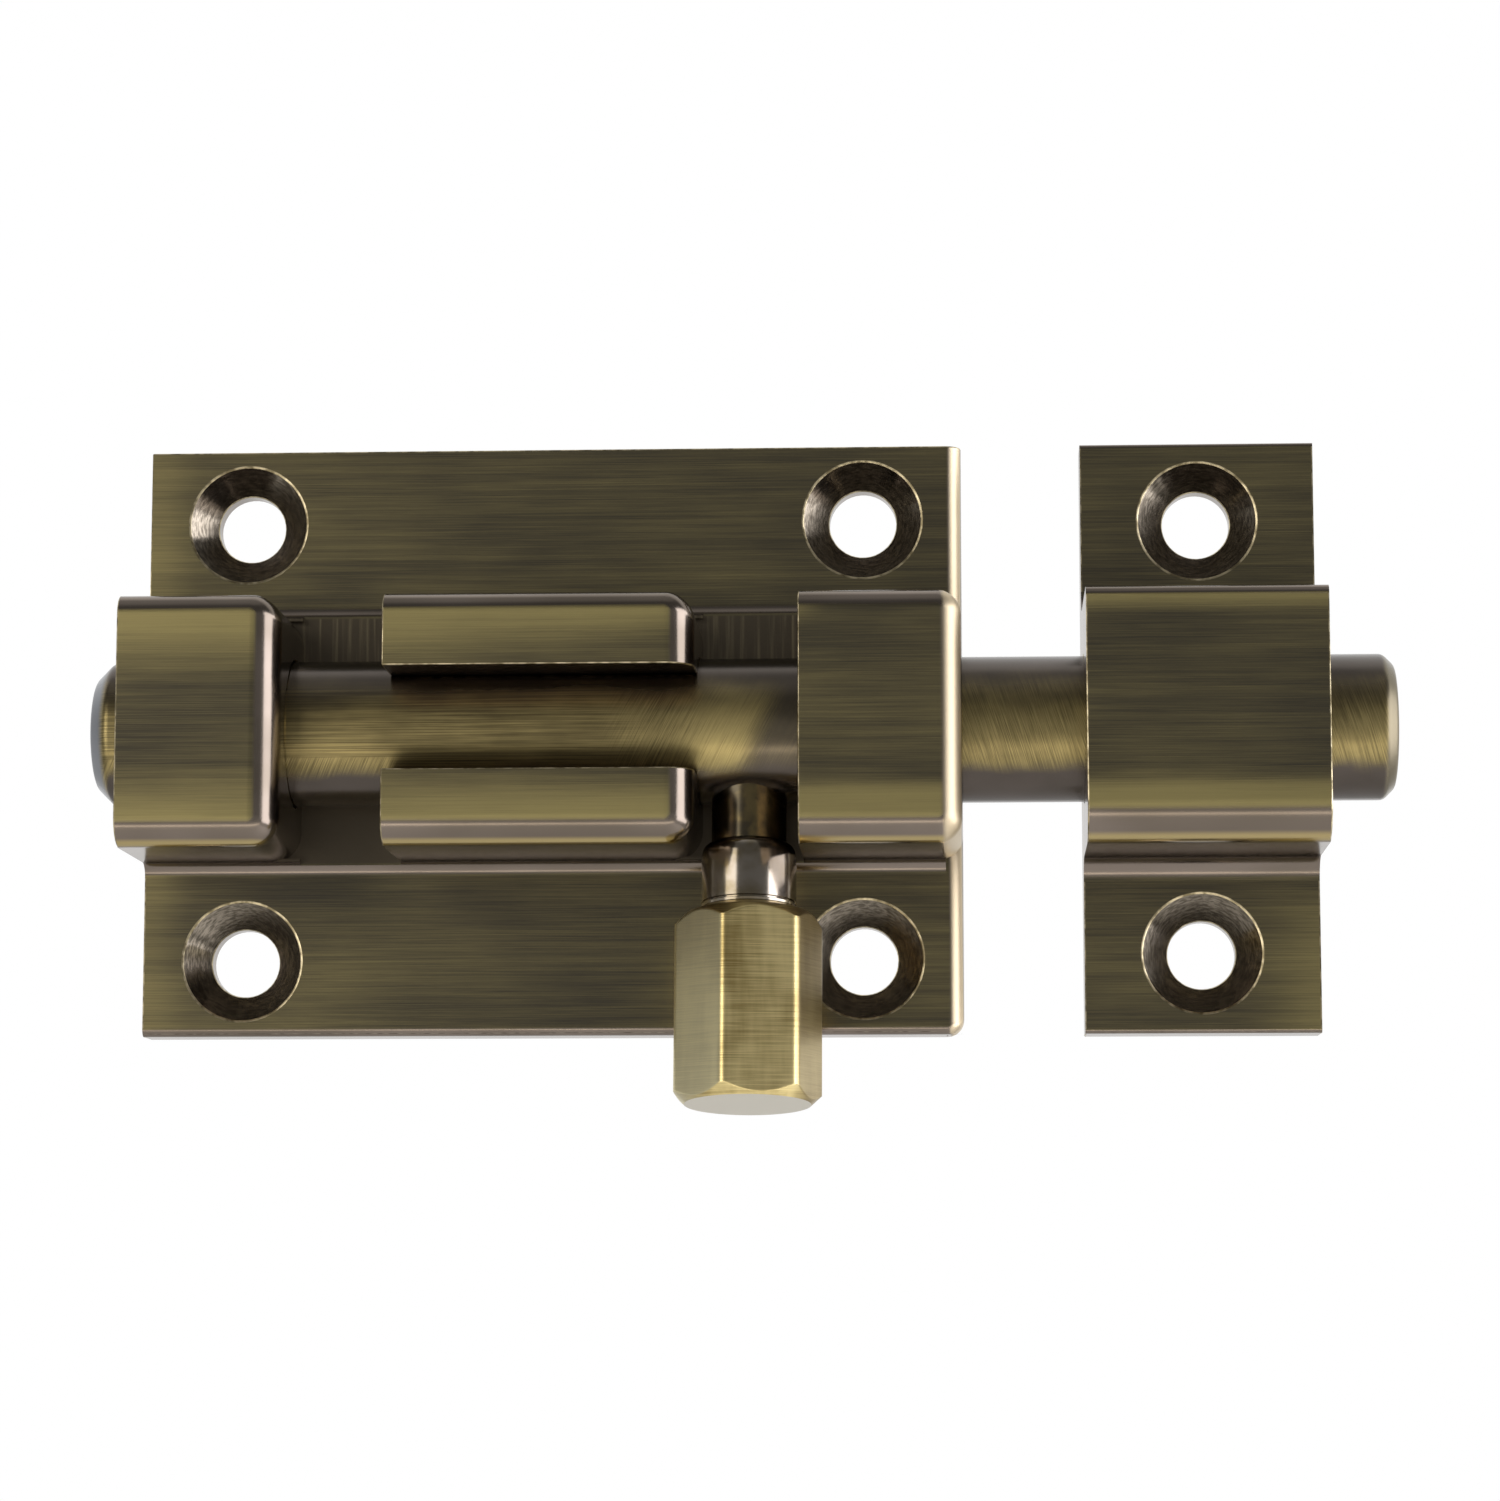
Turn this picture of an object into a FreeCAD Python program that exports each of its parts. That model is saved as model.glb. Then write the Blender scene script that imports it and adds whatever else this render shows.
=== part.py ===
import FreeCAD, Part
import math
import os

# A toggle bolt latch for a small door, in solid brass: a guide plate with three raised guides, a round
# bolt that slides and turns in them, a hexagonal knob on the bolt, and a keeper for the frame side.
#
# Frame: +X runs along the bolt towards the keeper and +Z is up. The backs of both plates lie in the
# plane y = 0 and their fronts face -Y. The origin is midway between the guide plate's four screws.
# Everything is in millimetres.

doc = FreeCAD.newDocument("toggle_bolt_latch")
sheet = doc.addObject("Spreadsheet::Sheet", "sizes")

SIZES = {
    # the two plates
    "plate_length": 57.0,
    "plate_height": 41.2,
    "plate_thick": 3.3,
    "plate_edge_round": 0.6,
    "plate_end_round": 1.2,
    "keeper_width": 16.2,
    "keeper_start": 36.8,
    # the raised guides
    "guide_width": 17.1,
    "guide_rise": 12.0,
    "guide_length": 11.0,
    "upper_round": 1.4,
    "lower_round": 2.0,
    "end_round": 2.0,
    "front_end_round": 1.7,
    "keeper_upper_round": 0.7,
    "keeper_lower_round": 2.7,
    "root_cove": 1.0,
    "keeper_cove": 1.6,
    "gap_length": 7.0,
    "gap_floor": 0.4,
    "slot_width": 7.0,
    # the bolt and its bore
    "bolt_radius": 5.0,
    "bolt_clearance": 0.09,
    "bolt_rise": 3.6,
    "bolt_start": -31.1,
    "bolt_length": 89.0,
    "bolt_rear_chamfer": 1.2,
    "bolt_nose_chamfer": 0.8,
    # the screw holes
    "screw_radius": 2.35,
    "countersink_radius": 4.15,
    "screw_across": 43.2,
    "screw_apart": 30.8,
    "keeper_screw_apart": 30.2,
    # the knob, measured outwards from the bolt's axis
    "knob_offset": 0.1,
    "stud_radius": 2.0,
    "stud_depth": 1.0,
    "shank_radius": 2.55,
    "shank_seat": 4.2,
    "collar_start": 7.95,
    "collar_radius": 3.25,
    "collar_round": 0.9,
    "knob_start": 12.45,
    "knob_end": 25.95,
    "knob_flats": 9.0,
    "knob_hole": 7.0,
    "knob_crown_radius": 3.1,
    "knob_crown_height": 0.5,
    "knob_neck_radius": 4.3,
    "knob_neck_chamfer": 1.0,
    "knob_turned_radius": 5.25,
    "knob_tip_radius": 4.3,
    "knob_tip_chamfer": 0.9,
    "knob_twist": 13.0,
    "knob_tilt": 6.5,
    "thread_gap": 0.02,
    "stud_relief": 0.2,
    "hole_relief": 0.5,
    # how far a raised piece is sunk into its plate, and how far a cutter runs past what it cuts
    "sunk": 1.0,
    "cove_overlap": 0.2,
    "overrun": 1.0,
}

for row, (alias, value) in enumerate(SIZES.items(), start=1):
    sheet.set(f"A{row}", alias)
    sheet.set(f"B{row}", str(value))
    sheet.setAlias(f"B{row}", alias)
doc.recompute()


def size(alias):
    """A driving size read back from the sheet."""
    return float(getattr(sheet, alias))


def text(formula):
    """A formula in plain aliases, with each alias pointed at the sheet."""
    words = []
    for word in formula.split():
        bare = word.strip("()")
        words.append(word.replace(bare, "sizes." + bare) if bare in SIZES else word)
    return " ".join(words)


def place(solid, corner):
    for axis, formula in zip("xyz", corner):
        solid.setExpression("Placement.Base." + axis, text(formula))


def box(name, corner, lengths):
    """A box from its lowest corner and its lengths along X, Y and Z."""
    solid = doc.addObject("Part::Box", name)
    for side, formula in zip(("Length", "Width", "Height"), lengths):
        solid.setExpression(side, text(formula))
    place(solid, corner)
    return solid


def cylinder(name, axis, start, radius, length):
    """A cylinder that runs from start along axis."""
    solid = doc.addObject("Part::Cylinder", name)
    turn = FreeCAD.Rotation(FreeCAD.Vector(0, 0, 1), FreeCAD.Vector(*axis))
    solid.Placement = FreeCAD.Placement(FreeCAD.Vector(), turn)
    solid.setExpression("Radius", text(radius))
    solid.setExpression("Height", text(length))
    place(solid, start)
    return solid


def cone(name, axis, start, near_radius, far_radius, length):
    """A cone whose radius goes from near_radius at start to far_radius at its far end."""
    solid = doc.addObject("Part::Cone", name)
    turn = FreeCAD.Rotation(FreeCAD.Vector(0, 0, 1), FreeCAD.Vector(*axis))
    solid.Placement = FreeCAD.Placement(FreeCAD.Vector(), turn)
    solid.setExpression("Radius1", text(near_radius))
    solid.setExpression("Radius2", text(far_radius))
    solid.setExpression("Height", text(length))
    place(solid, start)
    return solid


def fuse(name, pieces):
    joined = doc.addObject("Part::MultiFuse", name)
    joined.Shapes = pieces
    joined.Refine = True
    return joined


def cut(name, base, pieces):
    """base with each piece taken away in turn; the last cut carries the name."""
    for number, piece in enumerate(pieces, start=1):
        last = number == len(pieces)
        result = doc.addObject("Part::Cut", name if last else f"{name}_less_{number}")
        result.Base = base
        result.Tool = piece
        base = result
    return base


def edges_near(solid, wanted):
    """The numbers and radii of a solid's edges whose middles lie at the wanted points."""
    doc.recompute()
    found = []
    for point, radius in wanted:
        target = FreeCAD.Vector(*point)
        gaps = [(edge.CenterOfMass - target).Length for edge in solid.Shape.Edges]
        nearest = min(range(len(gaps)), key=gaps.__getitem__)
        if gaps[nearest] > 0.01:
            raise ValueError(f"{solid.Name} has no edge with its middle at {point}")
        found.append((nearest + 1, radius, radius))
    return found


def round_edges(name, base, wanted, kind="Part::Fillet"):
    result = doc.addObject(kind, name)
    result.Base = base
    result.Edges = edges_near(base, wanted)
    return result


# ---- pieces that both plates use

def raised_block(name, start, length, upper, lower, end):
    """A guide on a plate: a block whose front edges are rounded, and its +X end too where end > 0.

    The block is sunk into the plate, so that the two fuse.
    """
    base = box(
        name + "_block",
        (start, "-1 * ( plate_thick + guide_rise )", "-0.5 * guide_width"),
        (length, "guide_rise + sunk", "guide_width"),
    )
    doc.recompute()
    bounds = base.Shape.BoundBox
    mid_x = (bounds.XMin + bounds.XMax) / 2
    mid_y = (bounds.YMin + bounds.YMax) / 2
    wanted = [
        ((mid_x, bounds.YMin, bounds.ZMax), upper),
        ((mid_x, bounds.YMin, bounds.ZMin), lower),
    ]
    if end > 0:
        wanted += [
            ((bounds.XMax, bounds.YMin, 0), end),
            ((bounds.XMax, mid_y, bounds.ZMax), end),
            ((bounds.XMax, mid_y, bounds.ZMin), end),
        ]
    return round_edges(name + "_rounded", base, wanted)


def coves(name, start, length, radius):
    """The two hollow fillets where a guide's sides meet the plate."""
    pieces = []
    for side, low in (("upper", "0.5 * guide_width - cove_overlap"),
                      ("lower", f"-0.5 * guide_width - {radius}")):
        strip = box(
            f"{name}_{side}_strip",
            (start, f"-1 * ( plate_thick + {radius} )", low),
            (length, f"{radius} + sunk", f"{radius} + cove_overlap"),
        )
        centre = f"0.5 * guide_width + {radius}"
        if side == "lower":
            centre = f"-0.5 * guide_width - {radius}"
        roller = cylinder(
            f"{name}_{side}_roller", (1, 0, 0),
            (f"{start} - overrun", f"-1 * ( plate_thick + {radius} )", centre), radius,
            f"{length} + 2 * overrun",
        )
        pieces.append(cut(f"{name}_{side}", strip, [roller]))
    return pieces


def screw_hole(name, middle_x, middle_z):
    """A countersunk clearance hole: 90 degrees at the front, plain behind."""
    shank = cylinder(name + "_shank", (0, -1, 0), (middle_x, "overrun", middle_z),
                     "screw_radius", "plate_thick + 2 * overrun")
    sink = cone(
        name + "_sink", (0, 1, 0), (middle_x, "-1 * plate_thick - overrun", middle_z),
        "countersink_radius + overrun", "screw_radius",
        "countersink_radius + overrun - screw_radius",
    )
    return [shank, sink]


def bore(name, start, length):
    return cylinder(name, (1, 0, 0), (start, "-1 * ( plate_thick + bolt_rise )", "0"),
                    "bolt_radius + bolt_clearance", length)


# ---- guide plate

def make_guide_plate():
    plate = box("plate_slab", ("-0.5 * plate_length", "-1 * plate_thick", "-0.5 * plate_height"),
                ("plate_length", "plate_thick", "plate_height"))
    doc.recompute()
    bounds = plate.Shape.BoundBox
    mid_y = bounds.YMin / 2
    plate = round_edges("plate_rounded", plate, [
        ((0, bounds.YMin, bounds.ZMin), size("plate_edge_round")),
        ((bounds.XMax, bounds.YMin, 0), size("plate_end_round")),
        ((bounds.XMax, mid_y, bounds.ZMin), size("plate_end_round")),
    ])
    upper, lower, end = size("upper_round"), size("lower_round"), size("end_round")
    blocks = [
        raised_block("rear_guide", "-0.5 * plate_length", "guide_length", upper, lower, end),
        raised_block("middle_guide", "-0.5 * plate_length + guide_length + gap_length",
                     "plate_length - 2 * guide_length - 2 * gap_length", upper, lower, end),
        raised_block("front_guide", "0.5 * plate_length - guide_length", "guide_length",
                     upper, lower, size("front_end_round")),
    ]
    floor = box("gap_strip", ("-0.5 * plate_length", "-1 * ( plate_thick + gap_floor )",
                              "-0.5 * guide_width"),
                ("plate_length - end_round", "gap_floor + sunk", "guide_width"))
    roots = coves("root", "-0.5 * plate_length", "plate_length - plate_end_round", "root_cove")
    whole = fuse("guide_plate_whole", [plate, floor] + blocks + roots)
    gaps = [
        box(name, (start, "-1 * ( plate_thick + guide_rise + overrun )",
                   "-0.5 * guide_width - 3 * overrun"),
            ("gap_length", "guide_rise + overrun - gap_floor", "guide_width + 6 * overrun"))
        for name, start in (("rear_gap", "-0.5 * plate_length + guide_length"),
                            ("front_gap", "0.5 * plate_length - guide_length - gap_length"))
    ]
    slot = box("knob_slot", ("-0.5 * plate_length + guide_length + overrun",
                             "-1 * ( plate_thick + guide_rise + overrun )", "-0.5 * slot_width"),
               ("plate_length - 2 * guide_length - 2 * overrun", "guide_rise + overrun - bolt_rise",
                "slot_width"))
    holes = []
    for number, (side_x, side_z) in enumerate(((-1, 1), (1, 1), (-1, -1), (1, -1)), start=1):
        holes += screw_hole(f"screw_{number}", f"{side_x * 0.5} * screw_across",
                            f"{side_z * 0.5} * screw_apart")
    bolt_bore = bore("guide_bore", "-0.5 * plate_length - overrun", "plate_length + 2 * overrun")
    return cut("guide_plate", whole, gaps + [slot, bolt_bore] + holes)


# ---- keeper

def make_keeper():
    middle = "keeper_start + 0.5 * keeper_width"
    plate = box("keeper_slab", ("keeper_start", "-1 * plate_thick", "-0.5 * plate_height"),
                ("keeper_width", "plate_thick", "plate_height"))
    doc.recompute()
    bounds = plate.Shape.BoundBox
    mid_x = (bounds.XMin + bounds.XMax) / 2
    plate = round_edges("keeper_slab_rounded", plate, [
        ((mid_x, bounds.YMin, bounds.ZMin), size("plate_edge_round") / 2),
        ((mid_x, bounds.YMin, bounds.ZMax), size("plate_edge_round") / 2),
    ])
    block = raised_block("keeper_guide", "keeper_start", "keeper_width",
                         size("keeper_upper_round"), size("keeper_lower_round"), 0)
    roots = coves("keeper_root", "keeper_start", "keeper_width", "keeper_cove")
    whole = fuse("keeper_whole", [plate, block] + roots)
    holes = screw_hole("keeper_screw_1", middle, "0.5 * keeper_screw_apart")
    holes += screw_hole("keeper_screw_2", middle, "-0.5 * keeper_screw_apart")
    bolt_bore = bore("keeper_bore", "keeper_start - overrun", "keeper_width + 2 * overrun")
    return cut("keeper", whole, [bolt_bore] + holes)


# ---- bolt

def make_bolt_rod():
    """The round bolt, chamfered at both ends, with a spot face and a tapped hole for the stud."""
    rod = cylinder("rod_bar", (1, 0, 0), ("bolt_start", "-1 * ( plate_thick + bolt_rise )", "0"),
                   "bolt_radius", "bolt_length")
    doc.recompute()
    bounds = rod.Shape.BoundBox
    axis_y = -(size("plate_thick") + size("bolt_rise"))
    rod = round_edges("rod_chamfered", rod, [
        ((bounds.XMin, axis_y, 0), size("bolt_rear_chamfer")),
        ((bounds.XMax, axis_y, 0), size("bolt_nose_chamfer")),
    ], kind="Part::Chamfer")
    seat = cylinder("stud_seat", KNOB_WAY, knob_point("shank_seat"), "shank_radius + thread_gap",
                    "bolt_radius + overrun - shank_seat")
    thread = cylinder("stud_thread", KNOB_WAY, knob_point("-1 * stud_depth"),
                      "stud_radius + thread_gap", "shank_seat + stud_depth + stud_relief")
    return cut("bolt_rod", rod, [seat, thread])


# ---- knob: a stud screwed into the bolt, a collar on the stud and a hexagonal grip on its end.
# They hang from the bolt's axis, tilted out from the plate, which the grip would otherwise meet.

KNOB_X = "0.5 * plate_length - guide_length - 0.5 * gap_length - knob_offset"
TILT = math.radians(size("knob_tilt"))
KNOB_WAY = (0, -math.sin(TILT), -math.cos(TILT))


def knob_point(distance):
    """A point on the knob's axis, at a distance from the bolt's axis."""
    return (KNOB_X, f"-1 * ( plate_thick + bolt_rise ) - ( {distance} ) * sin( knob_tilt * 1 deg )",
            f"-1 * ( {distance} ) * cos( knob_tilt * 1 deg )")


def make_knob_stud():
    lower_end = "knob_start + knob_hole - hole_relief"
    thread = cylinder("stud_rod", KNOB_WAY, knob_point("-1 * stud_depth + stud_relief"),
                      "stud_radius", f"{lower_end} + stud_depth - stud_relief")
    shank = cylinder("stud_shank", KNOB_WAY, knob_point("shank_seat"), "shank_radius",
                     "collar_start - shank_seat")
    return fuse("knob_stud", [thread, shank])


def make_knob_collar():
    blank = cylinder("collar_blank", KNOB_WAY, knob_point("collar_start"), "collar_radius",
                     "knob_start - collar_start")
    doc.recompute()
    top = (size("plate_length") / 2 - size("guide_length") - size("gap_length") / 2
           - size("knob_offset"),
           -(size("plate_thick") + size("bolt_rise")) - size("collar_start") * math.sin(TILT),
           -size("collar_start") * math.cos(TILT))
    rounded = round_edges("collar_rounded", blank, [(top, size("collar_round"))])
    hole = cylinder("collar_hole", KNOB_WAY, knob_point("collar_start - overrun"),
                    "stud_radius + thread_gap", "knob_start - collar_start + 2 * overrun")
    return cut("knob_collar", rounded, [hole])


def make_hex_knob():
    """Hexagon bar, turned to a chamfer at each end and tapped for the stud."""
    prism = doc.addObject("Part::Prism", "knob_bar")
    prism.Polygon = 6
    twist = FreeCAD.Rotation(FreeCAD.Vector(0, 0, 1), size("knob_twist"))
    tilt = FreeCAD.Rotation(FreeCAD.Vector(1, 0, 0), -size("knob_tilt"))
    prism.Placement = FreeCAD.Placement(FreeCAD.Vector(), tilt * twist)
    prism.setExpression("Circumradius", text("knob_flats / sqrt( 3 )"))
    prism.setExpression("Height", text("knob_end - knob_start"))
    place(prism, knob_point("knob_end"))
    crown = cone("knob_crown", KNOB_WAY, knob_point("knob_start"), "knob_crown_radius",
                 "knob_neck_radius", "knob_crown_height")
    neck = cone("knob_neck", KNOB_WAY, knob_point("knob_start + knob_crown_height"),
                "knob_neck_radius", "knob_turned_radius", "knob_neck_chamfer")
    waist = cylinder("knob_waist", KNOB_WAY,
                     knob_point("knob_start + knob_crown_height + knob_neck_chamfer"),
                     "knob_turned_radius", "knob_end - knob_start - knob_crown_height"
                     " - knob_neck_chamfer - knob_tip_chamfer")
    tip = cone("knob_tip", KNOB_WAY, knob_point("knob_end - knob_tip_chamfer"),
               "knob_turned_radius", "knob_tip_radius", "knob_tip_chamfer")
    turned = fuse("knob_turned", [crown, neck, waist, tip])
    common = doc.addObject("Part::Common", "knob_solid")
    common.Base = prism
    common.Tool = turned
    hole = cylinder("knob_thread", KNOB_WAY, knob_point("knob_start - overrun"),
                    "stud_radius + thread_gap", "knob_hole + overrun")
    return cut("hex_knob", common, [hole])


# ---- make, check and write

NODES = {
    "guide_plate": make_guide_plate(),
    "keeper": make_keeper(),
    "bolt_rod": make_bolt_rod(),
    "knob_stud": make_knob_stud(),
    "knob_collar": make_knob_collar(),
    "hex_knob": make_hex_knob(),
}
for label, node in NODES.items():
    node.Label = label
doc.recompute()

for thing in doc.Objects:
    if "Invalid" in thing.State or "Error" in thing.State:
        raise RuntimeError(f"{thing.Name} failed: {thing.State}")

os.makedirs("parts", exist_ok=True)
for label, node in NODES.items():
    shape = node.Shape
    if shape.isNull() or not shape.isValid() or len(shape.Solids) != 1:
        raise RuntimeError(f"{label} is not one valid solid")
    shape.exportStep(f"parts/{label}.step")
    box_size = shape.BoundBox
    print(f"{label}: {shape.Volume:.1f} mm3, {box_size.XLength:.2f} x {box_size.YLength:.2f}"
          f" x {box_size.ZLength:.2f} mm")
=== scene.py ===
# %% [markdown]
# # A toggle bolt latch in antique brass
# A small surface bolt for a door. A round bolt slides and turns in three guides that stand on a flat
# plate, a hexagonal knob works it, and a keeper on the frame takes its nose. The whole latch is brass
# that was darkened in a bath and then brushed, so that bare metal shows through in fine lines.
# The measured parts come ready made from the frame. This lesson breaks the plates' sharp edges, works out
# the bolt and the knob anew as smooth turned surfaces, and adds the finishes, the light and the camera.

# %% Load the frame
import math

import bmesh
import bpy
import numpy as np
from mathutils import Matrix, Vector


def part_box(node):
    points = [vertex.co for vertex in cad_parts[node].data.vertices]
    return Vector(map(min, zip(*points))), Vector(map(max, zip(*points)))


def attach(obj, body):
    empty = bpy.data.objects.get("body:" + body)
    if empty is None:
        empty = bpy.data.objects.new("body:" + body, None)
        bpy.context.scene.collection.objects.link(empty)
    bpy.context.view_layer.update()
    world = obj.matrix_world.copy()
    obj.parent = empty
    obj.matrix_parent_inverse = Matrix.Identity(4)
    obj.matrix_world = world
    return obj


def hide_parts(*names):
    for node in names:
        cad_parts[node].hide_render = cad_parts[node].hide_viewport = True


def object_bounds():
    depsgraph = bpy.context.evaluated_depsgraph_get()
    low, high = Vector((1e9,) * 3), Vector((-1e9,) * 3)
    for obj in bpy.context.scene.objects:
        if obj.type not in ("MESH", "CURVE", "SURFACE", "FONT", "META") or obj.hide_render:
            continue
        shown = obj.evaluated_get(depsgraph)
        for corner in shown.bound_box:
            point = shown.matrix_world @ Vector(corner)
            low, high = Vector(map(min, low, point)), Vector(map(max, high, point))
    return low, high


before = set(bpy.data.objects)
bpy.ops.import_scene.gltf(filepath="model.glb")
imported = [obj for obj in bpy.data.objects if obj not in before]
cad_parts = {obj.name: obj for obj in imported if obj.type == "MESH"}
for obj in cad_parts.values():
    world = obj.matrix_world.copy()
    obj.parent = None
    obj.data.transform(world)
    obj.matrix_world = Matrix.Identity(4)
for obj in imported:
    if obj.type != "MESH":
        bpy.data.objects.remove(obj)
cad_box = [list(corner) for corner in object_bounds()]
MM = 0.001

# %% [markdown]
# ## Where things are
# Outer sizes and places are read from the frame. The bolt's axis is the middle of the rod's own box, and
# the collar's box gives the knob's place along the bolt and the collar's radius. What no box can tell, such
# as the knob's tilt or how far out its collar starts, is given below in millimetres, as it is in the design.

# %% Places from the frame
PLATE_LOW, PLATE_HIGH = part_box("guide_plate")
KEEPER_LOW, KEEPER_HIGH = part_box("keeper")
ROD_LOW, ROD_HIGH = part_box("bolt_rod")
GRIP_LOW, GRIP_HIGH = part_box("hex_knob")
COLLAR_LOW, COLLAR_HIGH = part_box("knob_collar")
ROD_RADIUS = (ROD_HIGH.y - ROD_LOW.y) / 2
AXIS_Y = (ROD_HIGH.y + ROD_LOW.y) / 2
KNOB_X = (COLLAR_LOW.x + COLLAR_HIGH.x) / 2
COLLAR_RADIUS = (COLLAR_HIGH.x - COLLAR_LOW.x) / 2
KNOB_ROOT = Vector((KNOB_X, AXIS_Y, 0))
KNOB_TILT = math.radians(6.5)
print(f"bolt axis at y {AXIS_Y / MM:.2f} mm, knob at x {KNOB_X / MM:.2f} mm,"
      f" tilted out {math.degrees(KNOB_TILT):.1f} degrees")
print(f"grip from z {GRIP_LOW.z / MM:.2f} to {GRIP_HIGH.z / MM:.2f} mm")

# %% [markdown]
# ## Surfaces worked out on a grid
# A turned part is a profile carried round an axis. A modifier could do that, but numpy works out the whole
# grid of points at once: one row for each point of the profile, one column for each step round the axis. The
# same grid makes the hexagonal grip, whose radius also depends on the angle.

# %% Grid helpers
WELD = 0.001 * MM


def grid_mesh(name, points):
    """A closed mesh from rows of points: columns join round, and the first and last rows are capped."""
    rows, columns = points.shape[:2]
    row, column = np.meshgrid(np.arange(rows - 1), np.arange(columns), indexing="ij")
    after = (column + 1) % columns
    corners = (row * columns + column, (row + 1) * columns + column,
               (row + 1) * columns + after, row * columns + after)
    quads = np.stack(corners, axis=-1).reshape(-1, 4).tolist()
    first = list(range(columns))
    last = [(rows - 1) * columns + step for step in reversed(range(columns))]
    mesh = bpy.data.meshes.new(name)
    mesh.from_pydata(points.reshape(-1, 3).tolist(), [], quads + [first, last])
    mesh.update()
    piece = bpy.data.objects.new(name, mesh)
    bpy.context.scene.collection.objects.link(piece)
    return piece


def outward(piece):
    """Merges doubled points and turns every face outwards."""
    work = bmesh.new()
    work.from_mesh(piece.data)
    bmesh.ops.remove_doubles(work, verts=work.verts, dist=WELD)
    bmesh.ops.recalc_face_normals(work, faces=work.faces)
    work.to_mesh(piece.data)
    work.free()
    return piece


def rounded_profile(corners, steps=5):
    """A turned profile: (along, radius) points, where a third number rounds that corner off.

    A corner's round is a quadratic curve between the two points that lie the third number away from it.
    """
    places = [np.array(corner[:2], float) for corner in corners]
    rounds = [corner[2] if len(corner) > 2 else 0.0 for corner in corners]
    profile = []
    for index, (place, size) in enumerate(zip(places, rounds)):
        if size == 0:
            profile.append(place)
            continue
        before = places[index - 1] - place
        after = places[index + 1] - place
        start = place + before / np.linalg.norm(before) * size
        stop = place + after / np.linalg.norm(after) * size
        t = np.linspace(0, 1, steps + 1)[:, None]
        profile.extend((1 - t) ** 2 * start + 2 * t * (1 - t) * place + t ** 2 * stop)
    return np.array(profile)


def turned(name, profile, origin, way, side, columns=128):
    """A profile carried round the line from origin along way; side is the direction of angle zero.

    A point stands its first number along the line, and its second number out from it, at each angle: across
    the line that is the cosine along side and the sine along the third direction.
    """
    angle = np.linspace(0, 2 * np.pi, columns, endpoint=False)[:, None]
    other = way.cross(side)
    along = profile[:, 0][:, None, None] * np.array(way)
    across = np.cos(angle) * np.array(side) + np.sin(angle) * np.array(other)
    points = np.array(origin) + along + profile[:, 1][:, None, None] * across[None]
    return outward(grid_mesh(name, points))


def shade(piece, degrees=32):
    """Smooth shading with sharp edges kept where faces meet at more than this angle."""
    piece.data.shade_smooth()
    piece.data.set_sharp_from_angle(angle=math.radians(degrees))
    return piece


# %% [markdown]
# ## Nodes for the finishes
# A material is a small network. One function adds a node of any kind with its settings and links, and one
# repeats a node over several values, as a long sum needs. Colours are written as sRGB hex values, and one
# function turns them into the linear numbers that the shader wants.

# %% Node helpers
SOFT = {"interpolation_type": "SMOOTHSTEP"}
PLUS = {"operation": "ADD"}
MINUS = {"operation": "SUBTRACT"}
TIMES = {"operation": "MULTIPLY"}
UNSIGNED = {"operation": "ABSOLUTE"}
LARGER = {"operation": "MAXIMUM"}
COLOURS = {"data_type": "RGBA"}
NUMBERS = {"data_type": "FLOAT"}


def linear(hex_value):
    """The linear RGBA of an sRGB hex colour."""
    parts = [int(hex_value[at:at + 2], 16) / 255 for at in (1, 3, 5)]
    return tuple(p / 12.92 if p <= 0.04045 else ((p + 0.055) / 1.055) ** 2.4 for p in parts) + (1.0,)


def add(tree, kind, *values, **settings):
    """Adds a node and returns it.

    A setting in small letters is a property of the node. A capitalised one is an input, by its name, with _
    for a space. The values fill the node's live inputs in order. An input takes a number, a hex colour, a
    socket, or a node, whose first live output is linked to it.
    """
    node = tree.nodes.new("ShaderNode" + kind)
    for key, value in settings.items():
        if key[0].islower():
            setattr(node, key, value)
    filled = list(zip([socket for socket in node.inputs if socket.enabled], values))
    filled += [(node.inputs[key.replace("_", " ")], value)
               for key, value in settings.items() if key[0].isupper()]
    for socket, value in filled:
        if isinstance(value, str):
            value = linear(value)
        if isinstance(value, bpy.types.Node):
            value = next(output for output in value.outputs if output.enabled)
        if isinstance(value, bpy.types.NodeSocket):
            tree.links.new(value, socket)
        else:
            socket.default_value = value
    return node


def chain(tree, kind, first, *others, **settings):
    """Joins several values with one kind of node: each takes the last one's result and the next value."""
    for other in others:
        first = add(tree, kind, first, other, **settings)
    return first


def new_material(name):
    """An empty material and its network."""
    material = bpy.data.materials.new(name)
    material.use_nodes = True
    material.node_tree.nodes.clear()
    return material, material.node_tree


def read_surface(tree):
    """Each point's place, the X, Y and Z of that place, and the X, Y and Z of the way that it faces."""
    where = add(tree, "TexCoord")
    place = where.outputs["Object"]
    axes = add(tree, "SeparateXYZ", place).outputs
    facing = add(tree, "SeparateXYZ", where.outputs["Normal"]).outputs
    return place, axes, facing


def grain(tree, place, lengths, detail=2.0, roughness=0.5, turn=(0, 0, 0)):
    """Noise whose grain measures these lengths, in millimetres along X, Y and Z before it is turned."""
    scale = tuple(MM * length for length in lengths)
    mapped = add(tree, "Mapping", vector_type="TEXTURE", Vector=place, Scale=scale, Rotation=turn)
    return add(tree, "TexNoise", Vector=mapped, Scale=1.0, Detail=detail, Roughness=roughness)


# %% [markdown]
# ## Bare metal
# Every finish here is the same stuff seen through a different pattern: brass, which is all metal to the
# shader and keeps the default index of refraction. Its colour is the pattern's, its roughness says how wide
# a highlight spreads, and its scratches are pressed in as bump, two hundredths of a millimetre at most.

# %% Metal shader
GRAIN_DEPTH = 0.02 * MM


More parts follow.
